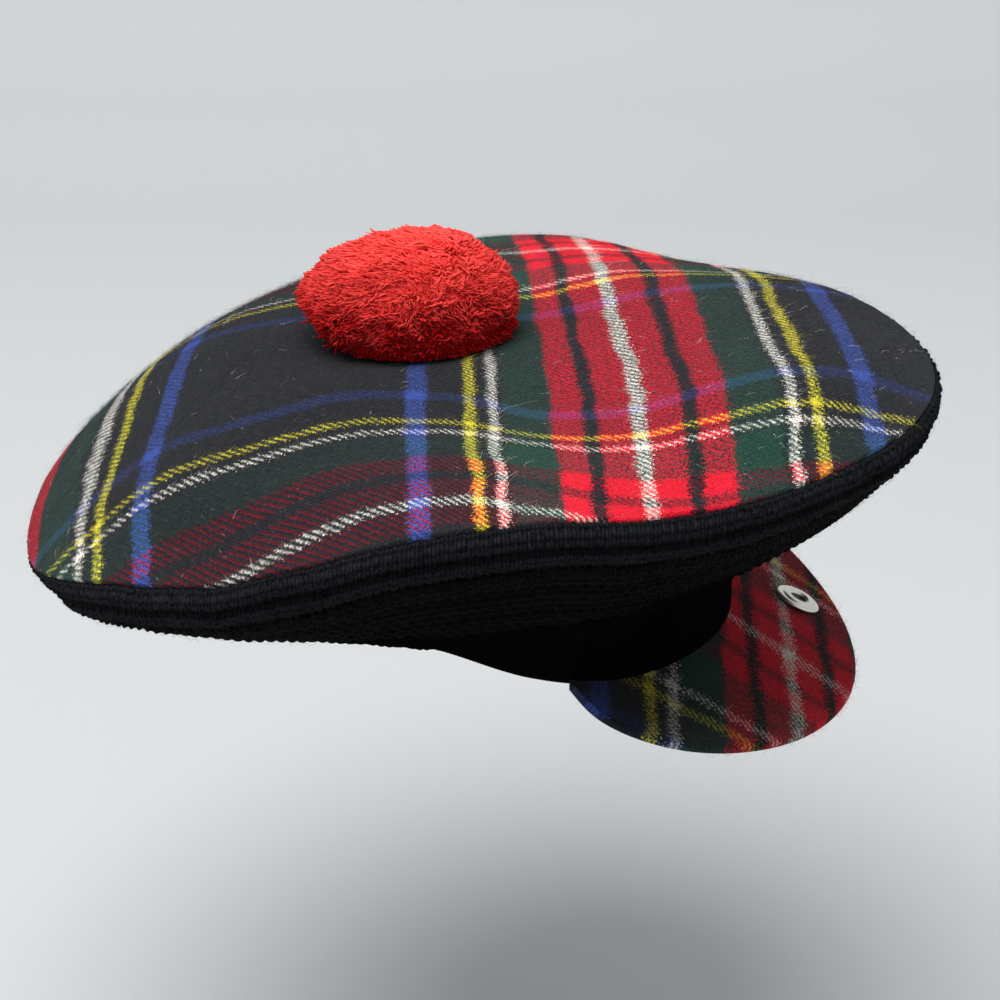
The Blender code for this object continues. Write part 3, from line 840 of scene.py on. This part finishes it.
# the underside wears the darker copy of the knit, as painted shade
under_side = make_piece("under_knit", under_block.reshape(-1, 3), [row_faces(UNDER_ROWS, 3 * STITCHES)],
                        shaded_black_knit, ["knit_side"])

# %% Loose hairs of the knit
rim_roots, rim_ways, rim_uv = scatter(rim_block, rim_normals, rim_counts, 9000)
rim_strips = fibre_strips(rim_roots, rim_ways, rim_uv, 1.7 * MM, 0.07 * MM, 0.8, 0.9)
rim_hairs = make_piece("rim_hairs", rim_strips[0], [rim_strips[1]], shaded_black_knit)

# %% The back of the knit, seen inside the hat
inner_bearing = np.linspace(-180, 180, 180, endpoint=False)
inner_path = side_sections(inner_bearing, 40)[0]
inner_normals = skin_normals(inner_path, outward(inner_bearing[:1])[0])
inner_skin = inner_path - 0.85 * KNIT_WALL * inner_normals
lining = make_piece("knit_inside", inner_skin.reshape(-1, 3), [row_faces(len(inner_skin), 180)], shaded_black_knit,
                    ["knit_side"])

# %% [markdown]
# ## The head band
#
# The band is a fine rib, so tight that its ribs are 1 mm apart.  They are waves on the tube's
# outer face, four points to a rib.  Its edge is a fold, so the tube turns over at the bottom.

# %% The ribbed band
RIBS = 480


def band_ends(bearing):
    lean = np.cos(np.radians(bearing - LEAN_BEARING))
    return (-BAND_LEAN * lean - BAND_DIP * around(BAND_EDGE, bearing)[0], BAND_HEIGHT - BAND_TOP_LEAN * lean)


def band_ring(reach, height):
    """One ring of the band: how far out and how high it runs at every bearing."""
    ring = outward(band_bearing) * reach[:, None]
    ring[:, 2] = height
    return ring


band_bearing = np.linspace(-180, 180, 4 * RIBS, endpoint=False)
rib_wave = 0.22 * MM * np.cos(np.radians(band_bearing) * RIBS)
low_edge, high_edge = band_ends(band_bearing)
outer, inner = BAND_RADIUS - 0.25 * MM + rib_wave, BAND_RADIUS - BAND_WALL + 0.05 * MM - 0.5 * rib_wave
rows = [band_ring(outer, low_edge + (high_edge - low_edge) * share) for share in np.linspace(1, 0.03, 12)]
for angle in (30, 90, 150):
    a = math.radians(angle)
    fold = BAND_RADIUS - BAND_WALL / 2 * (1 - math.cos(a)) + 0.5 * rib_wave
    rows.append(band_ring(fold, low_edge + (1 - math.sin(a)) * BAND_WALL / 2))
rows += [band_ring(inner, low_edge + (high_edge - low_edge) * share) for share in np.linspace(0.03, 1, 6)]
rows.append(rows[0])
black_rib = knit_paint("black_rib", (0.003, 0.003, 0.0036), 2200, 0.006)
band = make_piece("ribbed_band", np.concatenate(rows), [row_faces(len(rows), 4 * RIBS)], black_rib,
                  ["head_band"])

# %% [markdown]
# ## The peak
#
# The peak is a stiff crescent with the tartan glued over it.  Its section is a loop: in along the
# top, round the padded edge and back underneath.  Sweeping that loop from one tip to the other
# gives the whole piece, and the cloth's place is simply measured in the peak's own plane.

# %% The peak's skin
PEAK_DEPTH, PEAK_TIP, PEAK_HALF_ANGLE, PEAK_POWER = 41.2 * MM, 3 * MM, 69.5, 3.3
PEAK_SLOPE, PEAK_SIDE_SLOPE, PEAK_THICKNESS = 25, 2, 3.2 * MM


def peak_point(share, bearing, up_share):
    out = outward(bearing)
    turn = np.minimum(np.abs(bearing) / PEAK_HALF_ANGLE, 1)
    slope = np.radians(PEAK_SLOPE * (1 - turn**2) + PEAK_SIDE_SLOPE * turn**2)
    up_way = np.array([0, 0, 1.0])
    along = np.cos(slope)[..., None] * out - np.sin(slope)[..., None] * up_way
    way_up = np.sin(slope)[..., None] * out + np.cos(slope)[..., None] * up_way
    depth = PEAK_TIP + (PEAK_DEPTH - PEAK_TIP) * (1 - turn**PEAK_POWER) ** (1 / PEAK_POWER)
    foot = (BAND_RADIUS + SEAM_GAP) * out + band_ends(bearing)[0][..., None] * up_way
    lift = PEAK_THICKNESS * (up_share - 0.5)
    slide = np.tan(slope) * lift * (1 - share) * np.cos(slope)
    return foot + (depth * share - slide)[..., None] * along + lift * way_up


ACROSS_PEAK = 200
EDGE_STARTS = 0.955  # share of the depth where the edge begins to round
TOP_ROWS, EDGE_ROWS, UNDER_PEAK_ROWS = 26, 7, 12

swing = PEAK_HALF_ANGLE * np.sin(np.linspace(-math.pi / 2, math.pi / 2, ACROSS_PEAK))
loop = [(s, 1.0) for s in np.linspace(0, EDGE_STARTS, TOP_ROWS)]
for a in np.linspace(0.35, math.pi - 0.35, EDGE_ROWS):
    loop.append((EDGE_STARTS + (1 - EDGE_STARTS) * math.sin(a), 0.5 + 0.5 * math.cos(a)))
loop += [(s, 0.0) for s in np.linspace(EDGE_STARTS, 0, UNDER_PEAK_ROWS)]
peak_rows = np.array([peak_point(s, swing, u) for s, u in loop])
peak_rows[[0, -1]] -= 0.7 * MM * outward(swing)  # its inner edge is sewn into the band

# %% Its cloth, pulled slantwise over the plate
PEAK_PIVOT = np.array([94.2, 19.3])  # mm
PEAK_PULL = np.array([[1.11, -0.05], [0.42, 0.68]])  # what a mm forward and a mm to the left count

drop = np.array([PEAK_THICKNESS * (1 - u) for _, u in loop])[:, None, None]
level = (peak_rows + drop * outward(swing)) / MM  # the pattern goes on round the edge
forward_left = np.stack([-level[..., 1], level[..., 0]], -1)
peak_uv = (forward_left @ PEAK_PULL.T - [PEAK_PULL[0, 0] * PEAK_PIVOT[0], PEAK_PIVOT[1]]) * MM
closed = np.concatenate([peak_rows, peak_rows[:1]])
closed_uv = np.concatenate([peak_uv, peak_uv[:1]]).reshape(-1, 2)
faces = row_faces(len(closed), ACROSS_PEAK, wrap=False)
tips = [np.array([[k * ACROSS_PEAK + c for k in range(len(loop))]]) for c in (0, ACROSS_PEAK - 1)]
# the peak's cloth is darkened to 0.60 as painted shade, the shade under the rim
peak_wool = tartan_paint("peak_wool", nap=1.5, lint_share=0.10, painted_shade_factor=0.60)
peak = make_piece("peak_cover", closed.reshape(-1, 3), [faces, tips[0], tips[1][:, ::-1]], peak_wool,
                  ["peak"], closed_uv)

# %% The peak's nap
PEAK_HAIRS, PEAK_HAIR_WIDTH = 7000, 0.06 * MM
peak_top = peak_rows[:TOP_ROWS + EDGE_ROWS]
peak_normals = unit(np.cross(np.gradient(peak_top, axis=1), np.gradient(peak_top, axis=0)))
if peak_normals[5, ACROSS_PEAK // 2, 2] < 0:
    peak_normals = -peak_normals
inside = np.ones(peak_top.shape[:2])
inside[:, -1] = 0
roots, up_ways, root_uv = scatter(peak_top, peak_normals, peak_uv[:len(peak_top)], PEAK_HAIRS, inside)
strips = fibre_strips(roots - ROOT_DEPTH * up_ways, up_ways, root_uv, SHORT_HAIR, PEAK_HAIR_WIDTH, 0.55, 0.9)
peak_nap = make_piece("peak_nap", strips[0], [strips[1]], wool_hair, uv=strips[2])

# %% [markdown]
# ## The snap
#
# A press-stud's socket is pressed from thin sheet: a flange rolled over at its rim, a raised ring
# and a hole with a spring in it.  It is a turned shape, so a profile is spun round its axis.

# %% The snap
SNAP_PROFILE = [  # radius and height in mm, from the floor of the hole to the rolled rim
    (0.01, 0.42), (2.2, 0.42), (2.7, 0.50), (2.75, 0.9), (3.0, 1.02), (3.2, 0.95), (3.25, 1.45), (3.4, 1.68),
    (3.75, 1.80), (4.6, 1.84), (5.3, 1.78), (5.7, 1.52), (5.9, 1.22), (6.2, 1.12), (6.6, 1.20), (7.0, 1.16),
    (7.35, 0.92), (7.5, 0.6), (7.4, 0.3), (7.0, 0.1), (0.01, 0.05),
]
SNAP_BEARING, SNAP_OUT = 6.0, 0.57
SNAP_ROUND, SNAP_SHRINK = 72, 0.95

snap_turn = np.linspace(-180, 180, SNAP_ROUND, endpoint=False)
profile = np.array(SNAP_PROFILE) * [SNAP_SHRINK, 1] * MM
spun = outward(snap_turn)[None] * profile[:, None, :1] + np.array([0, 0, 1.0]) * profile[:, None, 1:]
near_snap = [(SNAP_OUT, SNAP_BEARING), (SNAP_OUT + 0.05, SNAP_BEARING), (SNAP_OUT, SNAP_BEARING + 1)]
centre, further, aside = (Vector(peak_point(share, np.array([b]), 1.0)[0]) for share, b in near_snap)
snap_way = (aside - centre).cross(further - centre).normalized()
snap_way = snap_way if snap_way.z > 0 else -snap_way
tilt = Vector((0, 0, 1)).rotation_difference(snap_way).to_matrix()
spun = spun @ np.array(tilt).T + np.array(centre + 2 * SEAM_GAP * snap_way)

# %% Scuffed nickel, with painted shade inside the hole
HOLE = 3.1  # mm
nickel_paint = Paint("nickel")
at = nickel_paint.node("ShaderNodeTexCoord", {}, {}, output=3)
scuffs = nickel_paint.grain(at, 1500, 3)
snap_uv = nickel_paint.node("ShaderNodeUVMap", {"uv_map": "cloth"}, {})
from_axis = nickel_paint.node("ShaderNodeSeparateXYZ", {}, {0: snap_uv})
# painted shade: the floor of the hole is coloured dark
hole_shade = ((HOLE - from_axis) * 4).held()
metal = nickel_paint.mix(hole_shade, (0.93, 0.90, 0.82, 1), (0.10, 0.10, 0.11, 1))
nickel = nickel_paint.surface(base_color=metal, metallic=1.0, roughness=0.30 + 0.22 * scuffs,
                              normal=nickel_paint.bump(scuffs, 0.03 * MM))
snap_places = np.repeat(np.array(SNAP_PROFILE)[:, None], SNAP_ROUND, axis=1).reshape(-1, 2)
snap = make_piece("snap_socket", spun.reshape(-1, 3), [row_faces(len(spun), SNAP_ROUND)], nickel,
                  ["snap"], snap_places)

# %% [markdown]
# ## The pompom
#
# A pompom is a bundle of yarn tied in the middle and cut, so every strand starts at the core and
# ends at the trimmed surface.  Thousands of short tubes do the same here.  They lean together in
# tufts, because the strands of one yarn stay close, and they bend where they press on the crown.

# %% Directions spread over a ball
STRANDS = 14500
k = np.arange(STRANDS) + 0.5
polar = np.arccos(1 - 2 * k / STRANDS)
swirl = math.pi * (1 + 5**0.5) * k
ways = np.stack([np.cos(swirl) * np.sin(polar), np.sin(swirl) * np.sin(polar), np.cos(polar)], -1)
ways = unit(ways + chance.normal(0, 0.02, ways.shape))
LOWEST = -0.62  # no strand points further down, into the crown
ways = ways[ways[:, 2] > LOWEST]
foot_height = crown_height(*POMPOM_FOOT[:, None])[0]
pompom_centre = np.array([*POMPOM_FOOT, foot_height + POMPOM_LIFT])
print(len(ways), "strands")

# %% Strands
COMB = np.array([-0.10, 0.40, 0.0])  # which way a hand has brushed the top
tuft = np.stack([ripple(ways, 0.22, s) for s in (1.3, 4.7, 9.1)], -1)
combed = np.clip(ways[:, 2:] + 0.10, 0, 1) * np.clip(1.1 * (ways[:, 1:2] + 0.75), 0, 1)
matted = np.stack([ripple(ways, 0.10, s) for s in (2.9, 5.3, 7.7)], -1)
lean = 0.36 * tuft + 0.30 * matted + COMB * combed + chance.normal(0, 0.07, ways.shape)
bumps = ripple(ways, 0.30, 2.2) + ripple(ways, 0.12, 6.2)
trim = 0.93 + 0.05 * bumps + chance.normal(0, 0.016, len(ways))
stray = chance.random(len(ways)) < 0.003
trim[stray] += chance.uniform(0.03, 0.08, stray.sum())
low_behind = (ways[:, 1] > 0.55) & (ways[:, 2] < -0.25) & (ways[:, 0] < 0.2)
loose = low_behind & (chance.random(len(ways)) < 0.018)
trim[loose] += chance.uniform(0.04, 0.15, loose.sum())
tips = pompom_centre + ways * POMPOM_HALF * trim[:, None]
starts = pompom_centre + (ways - 0.6 * lean) * POMPOM_HALF * 0.74
bends = pompom_centre + (ways - 0.25 * lean) * POMPOM_HALF * 0.90
spines = np.stack([starts, 0.25 * starts + 0.75 * bends, tips], 1)

# %% The trimmed shape
EGG, UNDERCUT = 0.10, 0.30  # its front end is fuller, and its back end is trimmed from below


def egg(places):
    """Places in a plain loaf moved to where the trimmed one has them."""
    share = (places - pompom_centre) / POMPOM_HALF
    back_end, front_end, low = (np.clip(s, 0, 1) for s in (share[..., 1], -share[..., 1], -share[..., 2]))
    shaped = places.copy()
    shaped[..., 2] = pompom_centre[2] + POMPOM_HALF[2] * share[..., 2] * (1 - EGG * share[..., 1])
    shaped[..., 1] -= (0.03 + UNDERCUT * back_end * low + 0.12 * front_end * low) * POMPOM_HALF[1]
    return shaped


spines = egg(spines)
ground = crown_height(spines[..., 0], spines[..., 1]) + 0.7 * MM
spines[..., 2] = np.maximum(spines[..., 2], ground)
thick = chance.uniform(0.30, 0.48, len(ways)) * MM


def tubes(spines, thick, taper, sides=3):
    """Thin tubes along short spines, each closed by its tip."""
    along = unit(spines[:, -1] - spines[:, 0])
    a = unit(np.cross(along, chance.normal(size=along.shape)))
    b = np.cross(along, a)
    joints = spines.shape[1]
    rings = []
    for k in range(joints):
        for s in range(sides):
            angle = 2 * math.pi * s / sides
            reach = (thick * taper[k])[:, None]
            rings.append(spines[:, k] + reach * (math.cos(angle) * a + math.sin(angle) * b))
    tip = spines[:, -1] + 0.6 * thick[:, None] * along
    points = np.stack(rings + [tip], 1)
    own = np.arange(len(spines))[:, None, None] * (joints * sides + 1)
    quads = row_faces(joints, sides)
    last_ring = (joints - 1) * sides
    caps = np.array([[last_ring + s, last_ring + (s + 1) % sides, joints * sides] for s in range(sides)])
    return points.reshape(-1, 3), (own + quads).reshape(-1, 4), (own + caps).reshape(-1, 3)


# %% Red yarn
# heights over which the yarn goes from painted shade to painted light
YARN_LOW, YARN_SPAN = 71 * MM, 27 * MM
SHADED_RED, LIT_RED = (0.46, 0.003, 0.005, 1), (1.0, 0.090, 0.076, 1)


def yarn_paint(name):
    """Bright red yarn: painted shade makes it deeper red low down and painted light makes it paler on top,
    shifted at random in patches.
    """
    paint = Paint(name)
    at = paint.node("ShaderNodeTexCoord", {}, {}, output=3)
    tuft_tone = paint.grain(at, 160, 3)
    fibre = paint.grain(at, 2600, 3, 0.7)
    # painted light and shade: deep red at YARN_LOW, pale red YARN_SPAN higher
    height = (paint.node("ShaderNodeSeparateXYZ", {}, {0: at}, output=2) - YARN_LOW) * (1 / YARN_SPAN)
    colour = paint.mix((height + 1.2 * (tuft_tone - 0.5)).held(), SHADED_RED, LIT_RED)
    colour = paint.dull(colour, 0.65 + 0.7 * fibre)
    return paint.surface(base_color=colour, roughness=0.9, sheen_weight=0.04, sheen_roughness=0.4,
                         specular_ior_level=0.06, normal=paint.bump(fibre, 0.15 * MM))


red_yarn = yarn_paint("red_yarn")
strand_points, strand_quads, strand_caps = tubes(spines, thick, (0.8, 1.0, 0.55))
pompom = make_piece("pompom_yarn", strand_points, [strand_quads, strand_caps], red_yarn,
                    ["pompom"])

# %% The core that the strands grow from
CORE_SHARE, CORE_ROWS, CORE_ROUND = 0.86, 30, 64
core_rows = []
for polar_angle in np.linspace(0.02, 2.4, CORE_ROWS):
    ring = outward(np.linspace(-180, 180, CORE_ROUND, endpoint=False)) * math.sin(polar_angle)
    ring[:, 2] = math.cos(polar_angle)
    core_rows.append(pompom_centre + ring * POMPOM_HALF * CORE_SHARE)
core_rows = egg(np.array(core_rows))
ground = crown_height(core_rows[..., 0], core_rows[..., 1]) + 0.5 * MM
core_rows[..., 2] = np.maximum(core_rows[..., 2], ground)
core = make_piece("pompom_core", core_rows.reshape(-1, 3), [row_faces(CORE_ROWS, CORE_ROUND)], red_yarn,
                  ["pompom"])

# %% [markdown]
# ## Floor and light
#
# The hat is shown as it sits on a head, in the air above a plain pale floor that runs up into a
# backdrop.  One big soft light hangs overhead and the bright room fills the shadows.

# %% Floor and backdrop
def plain_paint(name, colour):
    paint = Paint(name)
    return paint.surface(base_color=(*colour, 1), roughness=0.9, specular_ior_level=0.1)


floor_profile = [(-3.0, -0.20), (1.1, -0.20), (1.35, -0.17), (1.5, -0.05), (1.55, 0.3), (1.55, 3.0)]
floor_points = [(x, y, z) for y in (-4.0, 4.0) for x, z in floor_profile]
n = len(floor_profile)
floor_mesh = bpy.data.meshes.new("floor")
floor_mesh.from_pydata(floor_points, [], [(i, i + 1, n + i + 1, n + i) for i in range(n - 1)])
floor_mesh.shade_smooth()
floor_mesh.materials.append(plain_paint("floor", (0.55, 0.56, 0.56)))
floor = bpy.data.objects.new("floor", floor_mesh)
bpy.context.scene.collection.objects.link(floor)
floor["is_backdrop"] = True

# %% Light
def soft_light(name, place, toward, size, power):
    lamp = bpy.data.lights.new(name, "AREA")
    lamp.shape = "DISK"
    lamp.size = size
    lamp.energy = power
    made = bpy.data.objects.new(name, lamp)
    made.location = place
    made.rotation_mode = "QUATERNION"
    made.rotation_quaternion = (Vector(toward) - Vector(place)).to_track_quat("-Z", "Y")
    bpy.context.scene.collection.objects.link(made)


soft_light("overhead", (-0.60, 0.40, 2.15), (0, 0, 0.03), 1.9, 62)
world = bpy.data.worlds.new("room")
world.use_nodes = True
world.node_tree.nodes["Background"].inputs["Color"].default_value = (0.92, 0.96, 1.0, 1)
world.node_tree.nodes["Background"].inputs["Strength"].default_value = 0.62
bpy.context.scene.world = world
bpy.context.scene.view_settings.view_transform = "Standard"

# %% The bounds of the model and of the new skins
new_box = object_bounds()
for name, box in (("CAD box", cad_box), ("visual box", new_box)):
    print(name, [[round(v, 4) for v in corner] for corner in box])
